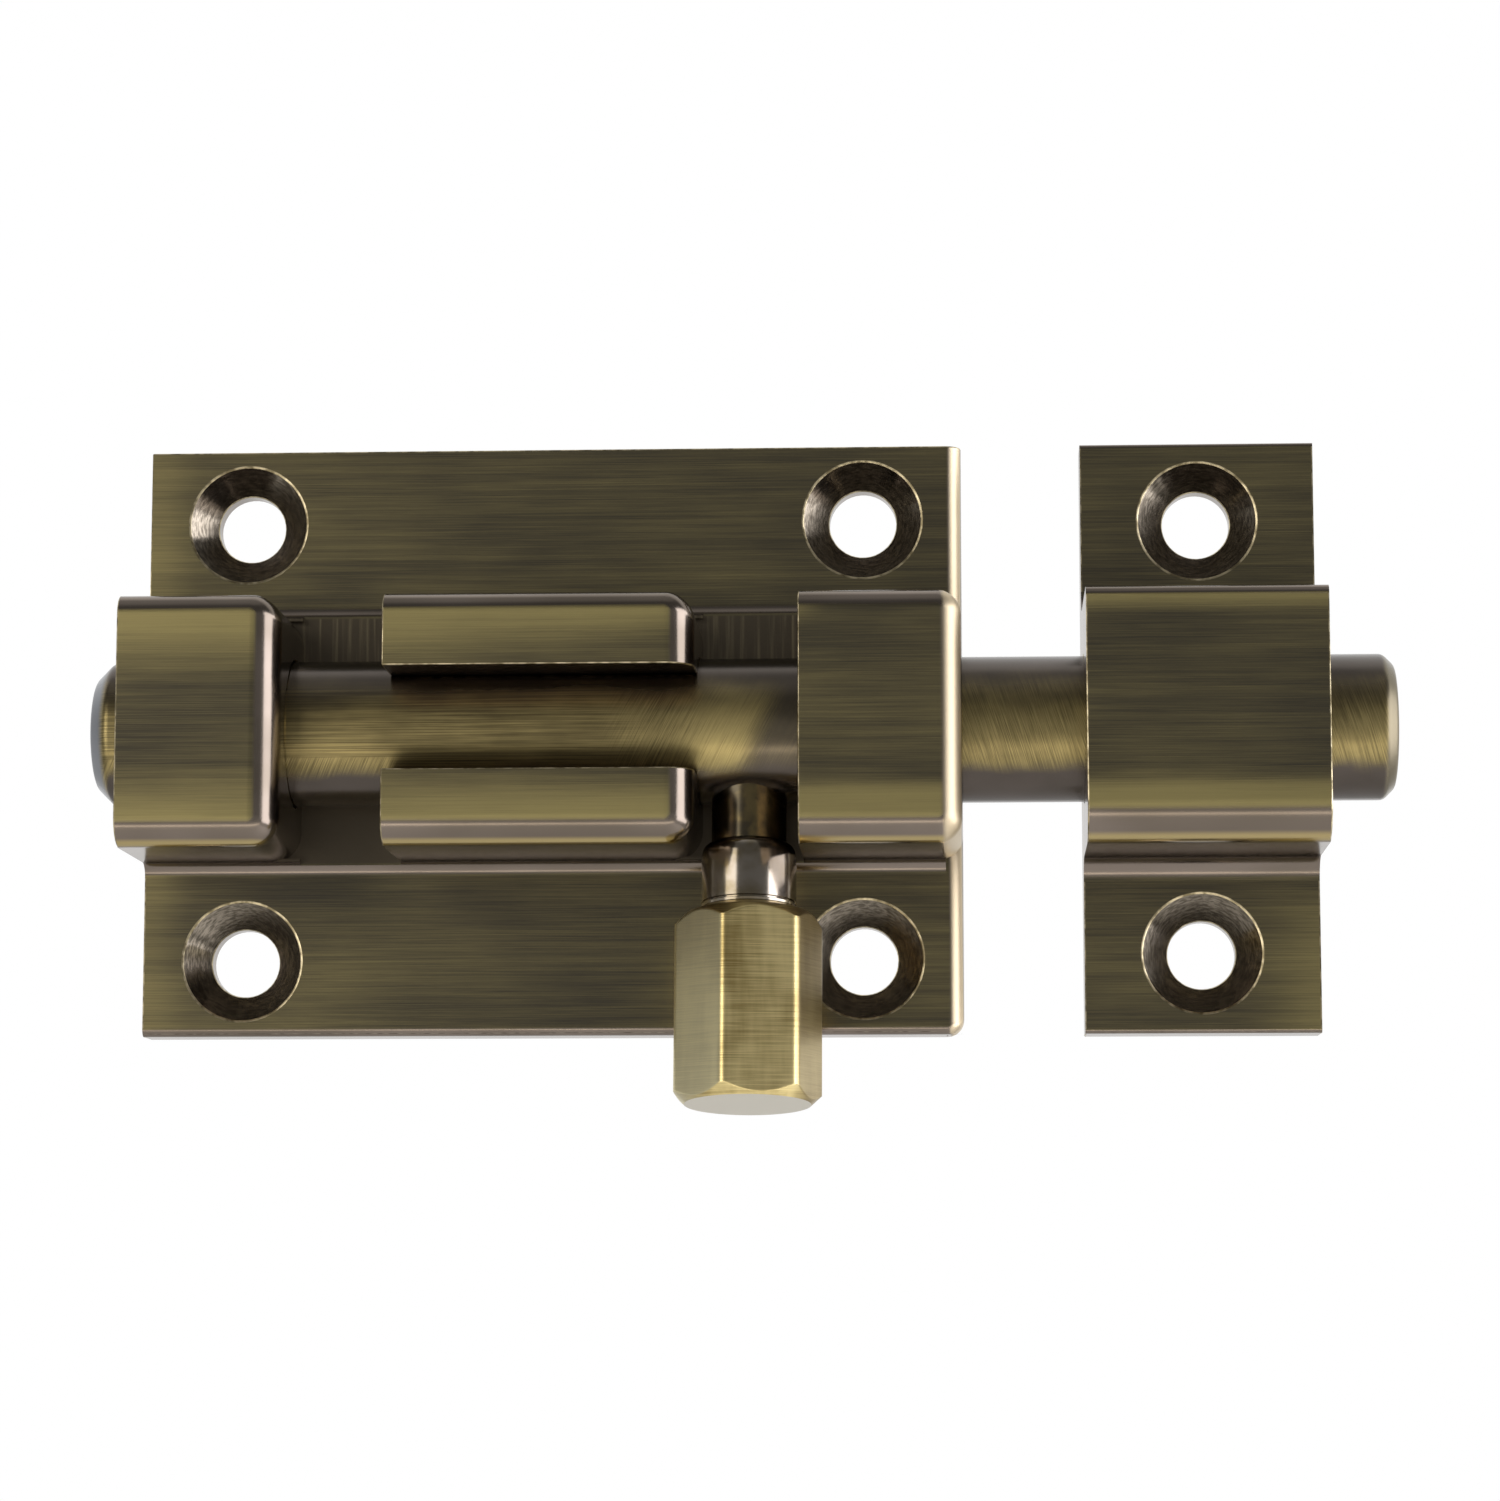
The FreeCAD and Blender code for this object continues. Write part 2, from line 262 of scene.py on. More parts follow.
def finish_metal(tree, colour, roughness, height, bump):
    """Ends a network in a bare metal: this colour and roughness, dented by height at a strength of bump."""
    dents = add(tree, "Bump", Height=height, Strength=bump, Distance=GRAIN_DEPTH)
    metal = add(tree, "BsdfPrincipled", Base_Color=colour, Roughness=roughness, Metallic=1.0, Normal=dents)
    add(tree, "OutputMaterial", Surface=metal)


def plain_brass(name, dark, light, roughness, size):
    """Brass that was turned or rubbed: two close tones in a soft mottle four times the size of its grain."""
    material, tree = new_material(name)
    place = add(tree, "TexCoord").outputs["Object"]
    mottle = grain(tree, place, (4 * size, 4 * size, 4 * size), detail=3)
    share = add(tree, "MapRange", mottle, 0.35, 0.65, **SOFT)
    colour = add(tree, "Mix", share, dark, light, **COLOURS)
    finish_metal(tree, colour, roughness, grain(tree, place, (size, size, size)), 0.1)
    return material


# %% [markdown]
# ## Brushed antique brass
# The plate, its guides and the keeper were darkened and then drawn along a belt, which runs along the bolt.
# The belt bares the brass in streaks from a twentieth to over half a millimetre wide and one or two
# centimetres long. Noise stretched along the belt makes them on every face at once, with nothing to unwrap.
# They come in bands, because the grit bites harder where the belt bears on an edge.

# %% How hard the belt bit
DARK_BRONZE = "#4c4840"
OLIVE_BRASS = "#b0a26e"
BOLT_WAY = (-20 * MM, 26 * MM)
GUIDES_STAND = (PLATE_LOW.y + 2.6 * MM, PLATE_LOW.y + 2.4 * MM)
PAST_PLATE = (PLATE_HIGH.x + 4.5 * MM, PLATE_HIGH.x + 1.5 * MM)
BAND_BITE, LEFT_BITE, KEEPER_BITE = 0.62, 0.22, 0.34


def guide_bite(tree, axes, raised):
    """The bite on the guides: none along their middle, most at their upper and lower edges.

    The bands' middle, start and full strength change from the rear guide, where they are wide and soft, to
    the keeper, where they are narrow. The front guide's upper half was spared.
    """
    shift = add(tree, "MapRange", axes[0], *BOLT_WAY, -0.4 * MM, 1.2 * MM, **SOFT)
    start = add(tree, "MapRange", axes[0], *BOLT_WAY, 1.8 * MM, 5.1 * MM, **SOFT)
    full = add(tree, "MapRange", axes[0], *BOLT_WAY, 7.8 * MM, 6.9 * MM, **SOFT)
    off_middle = add(tree, "Math", axes[2], shift, **MINUS)
    away = add(tree, "Math", off_middle, **UNSIGNED)
    bite = add(tree, "MapRange", away, start, full, 0.0, BAND_BITE, **SOFT)
    upper = add(tree, "MapRange", axes[2], 2 * MM, 5 * MM, **SOFT)
    on_front_guide = add(tree, "MapRange", axes[0], 16 * MM, 20 * MM, **SOFT)
    short_of_keeper = add(tree, "MapRange", axes[0], *PAST_PLATE, **SOFT)
    spared = chain(tree, "Math", upper, on_front_guide, short_of_keeper, **TIMES)
    unspared = add(tree, "Math", 1.0, spared, **MINUS)
    return chain(tree, "Math", bite, unspared, raised, **TIMES)


def plate_bite(tree, axes, raised):
    """The bite on the flat plates: some at the left end, more at the keeper's lower right corner."""
    left = add(tree, "MapRange", axes[0], PLATE_LOW.x + 4 * MM, PLATE_LOW.x, 0.0, LEFT_BITE, **SOFT)
    right = add(tree, "MapRange", axes[0], KEEPER_HIGH.x - 7 * MM, KEEPER_HIGH.x + 1 * MM, 0.0, KEEPER_BITE,
                **SOFT)
    low = add(tree, "MapRange", axes[2], -10 * MM, -13 * MM, **SOFT)
    corner = add(tree, "Math", right, low, **TIMES)
    ends = add(tree, "Math", left, corner, **PLUS)
    return add(tree, "Math", ends, add(tree, "Math", 1.0, raised, **MINUS), **TIMES)


def belt_streaks(tree, place, axes, raised, fine, cloud):
    """Dark bronze to bare brass, by the sum of the bite, fine and coarse streaks and a broad cloud."""
    coarse = grain(tree, place, (24, 2, 0.6), detail=5, roughness=0.7)
    tone = chain(tree, "Math", guide_bite(tree, axes, raised), plate_bite(tree, axes, raised),
                 add(tree, "Math", cloud, 0.45, **TIMES),
                 add(tree, "Math", coarse, 0.45, **TIMES),
                 add(tree, "Math", fine, 0.7, **TIMES), **PLUS)
    share = add(tree, "MapRange", tone, 0.5, 1.55, **SOFT)
    return add(tree, "Mix", share, DARK_BRONZE, OLIVE_BRASS, **COLOURS)


# %% [markdown]
# ## Where the belt didn't reach
# The hollows, sides and rounded edges kept the bath's smooth grey brown. Four places differ: a bare line
# where the lower roundings turn under, the turned countersinks, the plate's right end, which is painted pale
# as a highlight where the right box's reflection would lie, and the floors of the gaps, where the cutter's
# marks run up and down and fade below the bolt into painted shade. Each is a colour and a share, and the
# share comes from where a point is and which way it faces.

# %% Brown, bare and milled places
ROUND_BROWN, DEEP_BROWN, BARE_LINE = "#857a70", "#756b60", "#b9a674"
SCREW_ROWS = (10.6 * MM, 10.9 * MM)
COSINE_45 = 0.707


def bath_brown(tree, facing, cloud, raised):
    """The brown, in a broad mottle, with the bare line at 42 to 14 degrees from facing straight down."""
    patches = add(tree, "MapRange", cloud, 0.35, 0.65, **SOFT)
    mottled = add(tree, "Mix", patches, ROUND_BROWN, DEEP_BROWN, **COLOURS)
    under = add(tree, "Math", facing[2], -1.0, **TIMES)
    starts = add(tree, "MapRange", under, 0.74, 0.9, **SOFT)
    stops = add(tree, "MapRange", under, 0.995, 0.97, **SOFT)
    rubbed = chain(tree, "Math", starts, stops, raised, **TIMES)
    return add(tree, "Mix", rubbed, mottled, BARE_LINE, **COLOURS)


def countersinks(tree, place, axes, front, height, colour):
    """Lays the countersinks' turned rings on a colour: they alone face 45 degrees off in the screws' rows."""
    off_cone = add(tree, "Math", add(tree, "Math", front, COSINE_45, **MINUS), **UNSIGNED)
    cone = add(tree, "MapRange", off_cone, 0.05, 0.03, **SOFT)
    rows = add(tree, "MapRange", height, *SCREW_ROWS, **SOFT)
    on_plate = add(tree, "MapRange", axes[0], PLATE_HIGH.x - 1.5 * MM, PLATE_HIGH.x - 2.5 * MM, **SOFT)
    on_keeper = add(tree, "MapRange", axes[0], KEEPER_LOW.x + 0.7 * MM, KEEPER_LOW.x + 1.7 * MM, **SOFT)
    on_either = add(tree, "Math", on_plate, on_keeper, **LARGER)
    sunk = chain(tree, "Math", cone, rows, on_either, **TIMES)
    rings = grain(tree, place, (0.5, 0.1, 0.5), detail=3)
    cut = add(tree, "MapRange", rings, 0.35, 0.65, **SOFT)
    turned_dark = add(tree, "Mix", cut, "#5f584d", "#8f8678", **COLOURS)
    return add(tree, "Mix", sunk, colour, turned_dark, **COLOURS)


def painted_end_highlight(tree, axes, facing):
    """The share of the painted highlight on the plate's right rounding: where it turns right, but not the
    flat end beyond it.
    """
    turns = add(tree, "MapRange", facing[0], 0.15, 0.4, **SOFT)
    not_flat = add(tree, "MapRange", facing[0], 0.995, 0.93, **SOFT)
    near_end = add(tree, "MapRange", axes[0], PLATE_HIGH.x - 2.5 * MM, PLATE_HIGH.x - 1.5 * MM, **SOFT)
    short_of_keeper = add(tree, "MapRange", axes[0], *PAST_PLATE, **SOFT)
    return chain(tree, "Math", turns, not_flat, near_end, short_of_keeper, **TIMES)


def gap_floors(tree, place, axes, front, height, colour):
    """Lays the cutter's marks on a colour, on the gaps' floors. They fade out below the bolt into the darker
    brown, which is painted shade under the bolt.
    """
    between_coves = add(tree, "MapRange", height, 8.7 * MM, 8.5 * MM, **SOFT)
    behind_bolt = add(tree, "MapRange", axes[1], -5.0 * MM, -4.6 * MM, **SOFT)
    before_plate = add(tree, "MapRange", axes[1], -3.4 * MM, -3.5 * MM, **SOFT)
    faces_front = add(tree, "MapRange", front, 0.3, 0.6, **SOFT)
    floor = chain(tree, "Math", between_coves, behind_bolt, before_plate, faces_front, **TIMES)
    marks = add(tree, "MapRange", grain(tree, place, (0.3, 1, 9), detail=3), 0.45, 0.8, **SOFT)
    # Below the bolt the marks give way to the darker brown alone: painted shade under the bolt.
    above = add(tree, "MapRange", axes[2], -3 * MM, 0.0, **SOFT)
    shown = add(tree, "Math", marks, above, **TIMES)
    milled_brown = add(tree, "Mix", shown, "#5a5245", "#80765f", **COLOURS)
    return add(tree, "Mix", floor, colour, milled_brown, **COLOURS)


# %% [markdown]
# ## The plates' finish, put together
# The belt reached what faces forwards. There the brass is streaked and rougher, and everywhere else it is
# the smooth brown with its four exceptions. A real belt's finest lines are too fine to show, so the finest
# here are drawn a twentieth of a millimetre wide.

# %% The plates' brass
def brushed_brass(name):
    """Streaks on the flats and brown elsewhere, with the painted highlight on the plate's end, the
    countersinks and the gaps laid on.
    """
    material, tree = new_material(name)
    place, axes, facing = read_surface(tree)
    front = add(tree, "Math", facing[1], -1.0, **TIMES)
    height = add(tree, "Math", axes[2], **UNSIGNED)
    flat = add(tree, "MapRange", front, 0.955, 0.995, **SOFT)
    raised = add(tree, "MapRange", axes[1], *GUIDES_STAND, **SOFT)
    fine = grain(tree, place, (9, 1, 0.05), detail=5, roughness=0.7)
    cloud = grain(tree, place, (13, 6, 5), detail=2)
    brown = bath_brown(tree, facing, cloud, raised)
    brown = countersinks(tree, place, axes, front, height, brown)
    # The plate's right rounding is painted pale, a painted highlight in place of the right box's reflection,
    # and made rougher to widen it.
    end_highlight = painted_end_highlight(tree, axes, facing)
    brown = add(tree, "Mix", end_highlight, brown, "#cdbd9f", **COLOURS)
    colour = add(tree, "Mix", flat, brown, belt_streaks(tree, place, axes, raised, fine, cloud), **COLOURS)
    colour = gap_floors(tree, place, axes, front, height, colour)
    roughness = chain(tree, "Math", add(tree, "Math", flat, 0.18, **TIMES),
                      add(tree, "Math", end_highlight, 0.25, **TIMES), 0.2, **PLUS)
    finish_metal(tree, colour, roughness, add(tree, "Math", fine, flat, **TIMES), 0.3)
    return material


plate_brass = brushed_brass("brushed_antique_brass")
edge_brass = plain_brass("rubbed_brass_edge", "#cdbf9c", "#7d7257", 0.34, 0.18)
print("plate finishes", plate_brass.name, edge_brass.name)

# %% [markdown]
# ## The two plates
# The plates are milled, and their faces come exact from the frame. A real edge is never perfectly sharp:
# handling and the belt leave it about a tenth of a millimetre round, and there the brass is bare. So each
# plate is a copy of its measured part whose sharp edges get a narrow bevel in the rubbed finish. Edges in
# the coves and on the sides of the gaps are left, because there a bevel would run into its neighbours.

# %% Choosing the edges to break
EDGE_WIDTH = 0.09 * MM
SHARPER_THAN, LONGER_THAN = math.radians(35), 0.12 * MM
PAST_COVES, GUIDE_TOP, GUIDE_SIDES = 10.6 * MM, 8.5 * MM, -6 * MM


def mark_edges(mesh):
    """Gives a bevel weight of one to the sharp edges of the flat plate and of the guides' fronts."""
    work = bmesh.new()
    work.from_mesh(mesh)
    weight = work.edges.layers.float.new("bevel_weight_edge")
    for seam in work.edges:
        middle = (seam.verts[0].co + seam.verts[1].co) / 2
        on_guide = middle.y < GUIDE_SIDES and abs(middle.z) < GUIDE_TOP
        clear = abs(middle.z) > PAST_COVES or on_guide
        wanted = len(seam.link_faces) == 2 and seam.calc_face_angle() > SHARPER_THAN
        seam[weight] = float(wanted and clear and seam.calc_length() > LONGER_THAN)
    work.to_mesh(mesh)
    work.free()


# %% Plates with broken edges
FACETS = math.radians(0.6)


def milled(node, body):
    """A copy of a measured part, its loose triangles joined up and its marked edges bevelled."""
    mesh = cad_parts[node].data.copy()
    mesh.name = node + "_milled"
    piece = bpy.data.objects.new(node + "_milled", mesh)
    bpy.context.scene.collection.objects.link(piece)
    work = bmesh.new()
    work.from_mesh(mesh)
    bmesh.ops.remove_doubles(work, verts=work.verts, dist=2 * WELD)
    bmesh.ops.dissolve_limit(work, angle_limit=FACETS, verts=work.verts, edges=work.edges)
    work.to_mesh(mesh)
    work.free()
    if mesh.has_custom_normals:
        with bpy.context.temp_override(object=piece, active_object=piece, selected_objects=[piece]):
            bpy.ops.mesh.customdata_custom_splitnormals_clear()
    mesh.materials.clear()
    mesh.materials.append(plate_brass)
    mesh.materials.append(edge_brass)
    shade(piece, 25)
    mark_edges(mesh)
    edge = piece.modifiers.new("broken edges", "BEVEL")
    edge.limit_method = "WEIGHT"
    edge.width = EDGE_WIDTH
    edge.segments = 2
    edge.material = 1
    edge.use_clamp_overlap = False
    weigh = piece.modifiers.new("flat faces stay flat", "WEIGHTED_NORMAL")
    weigh.keep_sharp = True
    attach(piece, body)
    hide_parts(node)
    print(piece.name, len(mesh.polygons), "faces before its edges are broken")


milled("guide_plate", "guide")
milled("keeper", "keeper")

# %% [markdown]
# ## The bolt
# The bolt is bar, turned to a chamfer at both ends. It was darkened with the plates and brushed by hand on
# its front: along the bar at the rear, then across it, leaning one way up to the front guide and the other
# way past it. Its top and underside stayed grey brown. Like the plates it takes stretched noise, here turned
# by the angle that the strokes lean.

# %% The bolt's shape
WAY_X = Vector((1, 0, 0))
UP = Vector((0, 0, 1))
rear_chamfer = 1.2 * MM
nose_chamfer = 0.8 * MM
cap = 0.02 * ROD_RADIUS
rod_length = ROD_HIGH.x - ROD_LOW.x
rod_profile = rounded_profile([
    (0, cap),
    (0, ROD_RADIUS - rear_chamfer, 0.25 * MM),
    (rear_chamfer, ROD_RADIUS, 0.3 * MM),
    (rod_length - nose_chamfer, ROD_RADIUS, 0.3 * MM),
    (rod_length, ROD_RADIUS - nose_chamfer, 0.3 * MM),
    (rod_length, cap),
])
print(f"bolt {rod_length / MM:.1f} mm long, radius {ROD_RADIUS / MM:.2f} mm")

# %% The strokes across and along it
LEAN, LEAN_BACK = math.radians(28), math.radians(-18)
STROKE = (0.07, 4, 3)


def strokes(tree, place, axes, under):
    """The scratches, and the share of them that run across the bar."""
    along = grain(tree, place, (9, 1, 0.09), detail=4, roughness=0.6)
    lean = grain(tree, place, STROKE, detail=4, roughness=0.6, turn=(0, LEAN, 0))
    back = grain(tree, place, STROKE, detail=4, roughness=0.6, turn=(0, LEAN_BACK, 0))
    past_guide = add(tree, "MapRange", axes[0], 20 * MM, 26 * MM, **SOFT)
    across = add(tree, "Mix", past_guide, lean, back, **NUMBERS)
    fore = add(tree, "MapRange", axes[0], 2 * MM, 9 * MM, **SOFT)
    lower = add(tree, "MapRange", under, 0.4, 0.5, **SOFT)
    aft = add(tree, "MapRange", axes[0], -9 * MM, -11 * MM, **SOFT)
    low_aft = add(tree, "Math", lower, aft, **TIMES)
    crossing = add(tree, "MapRange", add(tree, "Math", fore, low_aft, **PLUS), 0.0, 1.0, **SOFT)
    return add(tree, "Mix", crossing, along, across, **NUMBERS), crossing


# %% The bolt's brass
REAR_GREY_REFLECTION, NOSE_RIM = "#84868a", "#756d5a"


def worn_bolt(name):
    """Grey brown on the bar's sides; bare on the front in fine scratches, along it and then across it."""
    material, tree = new_material(name)
    place, axes, facing = read_surface(tree)
    under = add(tree, "Math", facing[2], -1.0, **TIMES)
    cloud = grain(tree, place, (5, 4, 2.5), detail=3)
    uneven = add(tree, "MapRange", cloud, 0.3, 0.7, -0.05, 0.05, **SOFT)
    ragged = add(tree, "Math", under, uneven, **PLUS)
    below_top = add(tree, "MapRange", ragged, -0.75, -0.05, **SOFT)
    above_foot = add(tree, "MapRange", ragged, 0.72, 0.5, **SOFT)
    reached = add(tree, "Math", below_top, above_foot, **TIMES)
    scratches, crossing = strokes(tree, place, axes, under)
    # a bare patch beside the knob, which ends on a slope; past the slope the bolt is painted darker, as shade
    # beside the knob
    slope = add(tree, "Math", axes[0], add(tree, "Math", under, 2.2 * MM, **TIMES), **PLUS)
    patch = chain(tree, "Math", add(tree, "MapRange", slope, 8 * MM, 12.5 * MM, **SOFT),
                  add(tree, "MapRange", slope, 15.8 * MM, 13.6 * MM, **SOFT), **TIMES)
    knob_painted_shade = chain(tree, "Math", add(tree, "MapRange", slope, 13.8 * MM, 16.2 * MM, **SOFT),
                   add(tree, "MapRange", slope, 24 * MM, 20 * MM, **SOFT), **TIMES)
    unshaded = add(tree, "Math", 1.0, add(tree, "Math", knob_painted_shade, 0.8, **TIMES), **MINUS)
    reached = add(tree, "Math", reached, unshaded, **TIMES)
    tone = chain(tree, "Math", add(tree, "Math", scratches, 0.72, **TIMES),
                 add(tree, "Math", cloud, 0.28, **TIMES),
                 add(tree, "Math", crossing, 0.06, **TIMES),
                 add(tree, "Math", patch, 0.16, **TIMES), 0.04, **PLUS)
    bare = add(tree, "Mix", add(tree, "MapRange", tone, 0.34, 0.88, **SOFT), "#5f553b", "#bba972", **COLOURS)
    sides = add(tree, "Mix", cloud, "#4d4740", "#655d57", **COLOURS)
    colour = add(tree, "Mix", reached, sides, bare, **COLOURS)
    # The rear chamfer is painted blue grey: a painted reflection.
    rear_end = add(tree, "MapRange", axes[0], -30.0 * MM, -30.5 * MM, **SOFT)
    colour = add(tree, "Mix", rear_end, colour, REAR_GREY_REFLECTION, **COLOURS)
    nose = add(tree, "MapRange", axes[0], 56.9 * MM, 57.2 * MM, **SOFT)
    colour = add(tree, "Mix", nose, colour, NOSE_RIM, **COLOURS)
    roughness = add(tree, "Math", add(tree, "Math", reached, 0.16, **TIMES), 0.22, **PLUS)
    finish_metal(tree, colour, roughness, add(tree, "Math", scratches, reached, **TIMES), 0.3)
    return material


bolt = turned("bolt_rod_turned", rod_profile, Vector((ROD_LOW.x, AXIS_Y, 0)), WAY_X, UP, 160)
bolt.data.materials.append(worn_bolt("worn_antique_brass"))
shade(bolt)
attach(bolt, "bolt")
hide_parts("bolt_rod")
print(bolt.name, len(bolt.data.polygons), "faces")

# %% [markdown]
# ## The knob's stud and collar
# A dark stud screws into the bolt and carries a polished collar with a fine groove near its outer end. Both
# are turned, so each is a profile carried round the knob's own line, which leaves the plate by a few degrees.
# Neither was brushed: the stud's dark colour is partly its dark turned skin and partly painted shade under
# the collar, and the collar keeps a smooth, sharp shine.

# %% Stud and collar
KNOB_WAY = Vector((0, -math.sin(KNOB_TILT), -math.cos(KNOB_TILT)))
COLLAR_START, GRIP_START = 7.95 * MM, 12.45 * MM
SHANK_START, SHANK_RADIUS = 4.2 * MM, 2.55 * MM
STUD_RADIUS, STUD_END, STUD_CAP = 2.0 * MM, GRIP_START + 1 * MM, 0.1 * MM
COLLAR_BORE = 2.02 * MM
GROOVE = 0.12 * MM

stud = turned("knob_stud_turned", rounded_profile([
    (SHANK_START, STUD_CAP),
    (SHANK_START, SHANK_RADIUS),
    (COLLAR_START, SHANK_RADIUS),
    (COLLAR_START, STUD_RADIUS),
    (STUD_END, STUD_RADIUS),
    (STUD_END, STUD_CAP),
]), KNOB_ROOT, KNOB_WAY, WAY_X)
# The stud's dark brass is partly its turned skin and partly painted shade under the collar.
stud.data.materials.append(plain_brass("dark_turned_brass_and_shade", "#5b5445", "#8a7a55", 0.24, 0.3))

collar = turned("knob_collar_turned", rounded_profile([
    (COLLAR_START, COLLAR_BORE),
    (COLLAR_START, COLLAR_RADIUS - 0.1 * MM, 0.9 * MM),
    (COLLAR_START + 1.3 * MM, COLLAR_RADIUS, 0.3 * MM),
    (GRIP_START - 0.35 * MM, COLLAR_RADIUS),
    (GRIP_START - 0.3 * MM, COLLAR_RADIUS - GROOVE),
    (GRIP_START - 0.2 * MM, COLLAR_RADIUS - GROOVE),
    (GRIP_START - 0.15 * MM, COLLAR_RADIUS),
    (GRIP_START, COLLAR_RADIUS - 0.05 * MM),
    (GRIP_START, COLLAR_BORE),
]), KNOB_ROOT, KNOB_WAY, WAY_X)
collar.data.materials.append(plain_brass("polished_brass", "#a59c90", "#8a7e66", 0.16, 0.5))
print(f"collar radius {COLLAR_RADIUS / MM:.2f} mm")

# %% [markdown]
# ## The hexagonal grip
# The grip is hexagon bar, turned to a chamfer at both ends. Its outline at any height is the smaller of two
# radii: the hexagon's and the turning tool's. Where they cross, the flats end in the arcs that every turned
# nut has. Its rows of points lie closest where a chamfer cuts the flats.

# %% The grip's shape
SIDES = 6
HALF_SIDE = math.pi / SIDES
GRIP_FLATS, GRIP_LENGTH = 9.0 * MM, 13.5 * MM
GRIP_TWIST = math.radians(13)
CORNER_ROUND = 0.7 * MM
CROWN_RADIUS, NECK_RADIUS, TURNED_RADIUS, TIP_RADIUS = 3.1 * MM, 4.3 * MM, 5.25 * MM, 4.3 * MM
CROWN_HEIGHT, NECK_CHAMFER, TIP_CHAMFER = 0.5 * MM, 1.0 * MM, 0.9 * MM
GRIP_CAP = 0.05 * MM
# where a band of rows starts and ends, in millimetres, and how many rows it has
GRIP_ROWS = ((0, 0, 2), (0.1, 0.5, 4), (0.56, 1.6, 16), (1.9, 12.3, 9), (12.55, 13.46, 22), (13.5, 13.5, 2))


def hexagon_radius(angle):
    """Half the width over flats, over the cosine of the angle to the nearest flat, with rounded corners.

    Within each corner it is the far side of a small circle that touches both flats. The circle's middle is
    a distance c out on the corner's line, and a ray at an angle t from that line leaves a circle of radius
    r at c times the cosine of t, plus the root of r squared less the square of c times the sine of t.
    """
    from_flat = np.abs((angle + HALF_SIDE) % (2 * HALF_SIDE) - HALF_SIDE)
    sharp = GRIP_FLATS / 2 / np.cos(from_flat)
    inner = GRIP_FLATS / 2 - CORNER_ROUND
    middle = inner / math.cos(HALF_SIDE)
    off_corner = HALF_SIDE - from_flat
    inside = np.maximum(CORNER_ROUND ** 2 - (middle * np.sin(off_corner)) ** 2, 0)
    rounded = middle * np.cos(off_corner) + np.sqrt(inside)
    touches = math.atan(inner * math.tan(HALF_SIDE) / (GRIP_FLATS / 2))
    return np.where(from_flat > touches, rounded, sharp)


def tool_radius(heights):
    """The least of three cones: the crown and the neck, which widen, and the tip, which narrows."""
    crown = CROWN_RADIUS + heights * (NECK_RADIUS - CROWN_RADIUS) / CROWN_HEIGHT
    neck = NECK_RADIUS + (heights - CROWN_HEIGHT) * (TURNED_RADIUS - NECK_RADIUS) / NECK_CHAMFER
    tip = TIP_RADIUS + (GRIP_LENGTH - heights) * (TURNED_RADIUS - TIP_RADIUS) / TIP_CHAMFER
    return np.minimum(np.minimum(crown, neck), tip)


def grip_mesh(steps=33):
    """The grip: at each height and angle the smaller radius, with the angles closest at the corners."""
    from_flat = HALF_SIDE * np.sin(np.linspace(-math.pi / 2, math.pi / 2, steps))[:-1]
    angle = np.concatenate([from_flat + 2 * HALF_SIDE * side for side in range(SIDES)])
    heights = np.concatenate([np.linspace(*band) for band in GRIP_ROWS]) * MM
    radius = np.minimum(hexagon_radius(angle)[None, :], tool_radius(heights)[:, None])
    radius[0] = radius[-1] = GRIP_CAP
    turned_angle = (angle - math.pi / 2 + GRIP_TWIST)[:, None]
    outwards = WAY_X.cross(KNOB_WAY)
    across = np.cos(turned_angle) * np.array(WAY_X) + np.sin(turned_angle) * np.array(outwards)
    along = (heights + GRIP_START)[:, None, None] * np.array(KNOB_WAY)
    points = np.array(KNOB_ROOT) + along + radius[..., None] * across[None]
    return outward(grid_mesh("hex_knob_milled", points))


# %% [markdown]
# ## The grip's brass
# The grip was drawn across a finer belt with its flats square to it, so its lines run round it, and it lost
# nearly all of the brown. Its left flats are painted paler, a painted reflection, its right ones are painted
# darker, as painted shade, and its end is palest.
# The lines are drawn 0.08 mm apart, about as fine as can show.

# %% The grip's finish, and the knob on its bolt
def knob_metal(name):
    """The grip's brass: brushed across its flats, barer than the plates, palest on its end."""
    material, tree = new_material(name)
    place, _, facing = read_surface(tree)
    fine = grain(tree, place, (5, 5, 0.08), detail=4, roughness=0.6)
    upright = grain(tree, place, (0.5, 0.5, 14), detail=2)
    cloud = grain(tree, place, (3.5, 3.5, 7), detail=2)
    tone = chain(tree, "Math", add(tree, "Math", fine, 0.5, **TIMES),
                 add(tree, "Math", cloud, 0.62, **TIMES),
                 add(tree, "Math", upright, 0.12, **TIMES), **PLUS)
    share = add(tree, "MapRange", tone, 0.42, 0.82, **SOFT)
    colour = add(tree, "Mix", share, "#9c8650", "#f6e2a2", **COLOURS)
    # The left flats are painted paler as a reflection and the right ones darker as shade, by the way they
    # face.
    left = add(tree, "Math", add(tree, "MapRange", facing[0], -0.35, -0.7, **SOFT), 0.65, **TIMES)
    colour = add(tree, "Mix", left, colour, "#d6d0ae", **COLOURS)
    right = add(tree, "Math", add(tree, "MapRange", facing[0], 0.4, 0.7, **SOFT), 0.7, **TIMES)
    colour = add(tree, "Mix", right, colour, "#8c7b58", **COLOURS)
    end = add(tree, "MapRange", facing[2], -0.75, -0.93, **SOFT)
    colour = add(tree, "Mix", end, colour, "#dcd6c6", **COLOURS)
    finish_metal(tree, colour, 0.34, fine, 0.3)
    return material


grip = grip_mesh()
grip.data.materials.append(knob_metal("bright_brushed_brass"))
for piece, node, slot in ((stud, "knob_stud", "stud_brass"), (collar, "knob_collar", "collar_brass"),
                          (grip, "hex_knob", "knob_brass")):
    shade(piece)
    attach(piece, "bolt")
    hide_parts(node)
    print(piece.name, len(piece.data.polygons), "faces")

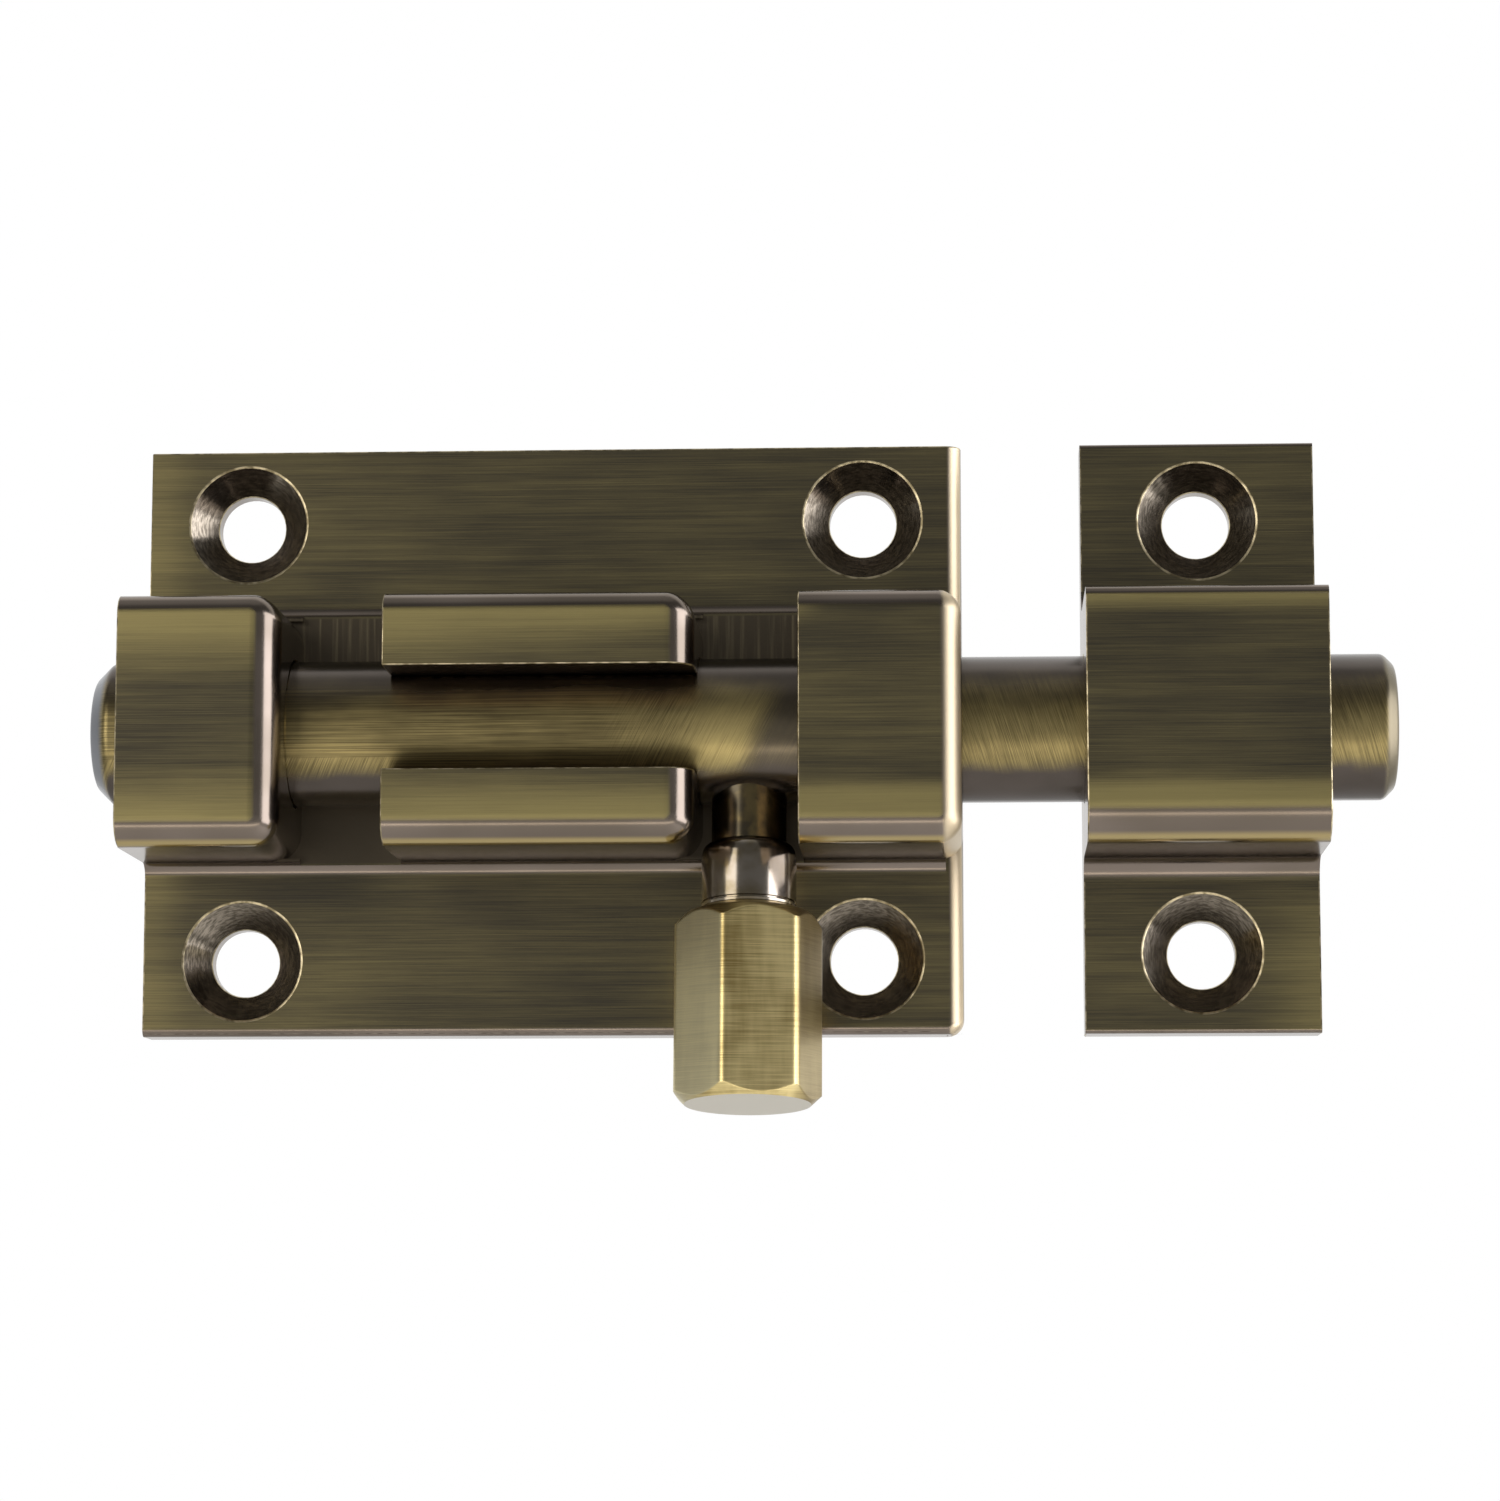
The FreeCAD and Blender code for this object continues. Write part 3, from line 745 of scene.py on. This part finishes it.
# %% [markdown]
# ## Light
# Brass shows what stands round it. The room is white behind the latch and dim in front, brighter below
# than above. Two soft boxes stand at the sides and a low strip lies in front: the box on the right draws the
# pale line down every rounded end, the one on the left a second line down the polished collar, and the strip
# lifts the edges that turn under. The camera itself sees plain white.

# %% Room
world = bpy.data.worlds.new("studio")
bpy.context.scene.world = world
world.use_nodes = True
sky = world.node_tree
sky.nodes.clear()
way = add(sky, "SeparateXYZ", add(sky, "TexCoord").outputs["Generated"]).outputs
low_glow = add(sky, "MapRange", way[2], 0.45, -0.15, 0.15, 0.42, **SOFT)
high_glow = add(sky, "MapRange", way[2], 0.72, 0.98, 0.0, 0.28, **SOFT)
in_front = add(sky, "Math", low_glow, high_glow, **PLUS)
wall = add(sky, "MapRange", way[2], -0.75, -0.35, 0.35, 1.0, **SOFT)
behind = add(sky, "MapRange", way[1], 0.0, 0.3, **SOFT)
level = add(sky, "Mix", behind, in_front, wall, **NUMBERS)
seen = add(sky, "LightPath").outputs["Is Camera Ray"]
level = add(sky, "Math", level, seen, **LARGER)
glow = add(sky, "Background", Color=(1, 1, 1, 1), Strength=level)
add(sky, "OutputWorld", Surface=glow)

# %% Lamps
middle = (Vector(cad_box[0]) + Vector(cad_box[1])) / 2


def soft_box(name, place, size, power, tint):
    """A flat lamp aimed at the latch: its width and height in metres and its power in watts."""
    lamp = bpy.data.lights.new(name, "AREA")
    lamp.shape = "RECTANGLE"
    lamp.size, lamp.size_y = size
    lamp.energy = power
    lamp.color = linear(tint)[:3]
    holder = bpy.data.objects.new(name, lamp)
    holder.location = place
    holder.rotation_euler = (middle - Vector(place)).to_track_quat("-Z", "Y").to_euler()
    bpy.context.scene.collection.objects.link(holder)


soft_box("right box", (0.60, -0.12, 0.02), (0.6, 0.55), 4.4, "#f8f8ff")
soft_box("left box", (-0.40, -0.46, 0.02), (0.3, 0.55), 1.3, "#fffaf4")
soft_box("low strip", (0.02, -0.46, -0.38), (0.9, 0.12), 0.8, "#fff6e6")
print("lamps", sorted(lamp.name for lamp in bpy.data.lights))

# %% [markdown]
# ## Floor and camera
# The latch hangs on a door, so the pale floor is well below it. The camera is a long lens a little below
# the bolt and to the right of the plate, so that it looks slightly up under the guides.

# %% Floor
FLOOR_DROP, FLOOR_RADIUS = 0.35, 1.2
bpy.ops.mesh.primitive_circle_add(vertices=96, radius=FLOOR_RADIUS, fill_type="NGON",
                                  location=(middle.x, middle.y, cad_box[0][2] - FLOOR_DROP))
floor = bpy.context.object
floor.name = "floor"
floor_paint, tree = new_material("pale floor")
paint = add(tree, "BsdfPrincipled", Base_Color="#efeeec", Roughness=0.9)
add(tree, "OutputMaterial", Surface=paint)
floor.data.materials.append(floor_paint)

# %% Camera
SENSOR, LENS = 36.0, 105.6
VIEW_FROM = Vector((28.6, -306.3, -42.0)) * MM
VIEW_TO = Vector((13.74, -3.3, -0.84)) * MM
camera = bpy.data.cameras.new("camera")
camera.sensor_width = SENSOR
camera.lens = LENS
camera.clip_start = 0.01
view = bpy.data.objects.new("camera", camera)
view.location = VIEW_FROM
view.rotation_euler = (VIEW_TO - VIEW_FROM).to_track_quat("-Z", "Y").to_euler()
bpy.context.scene.collection.objects.link(view)
bpy.context.scene.camera = view
bpy.context.scene.view_settings.view_transform = "Standard"
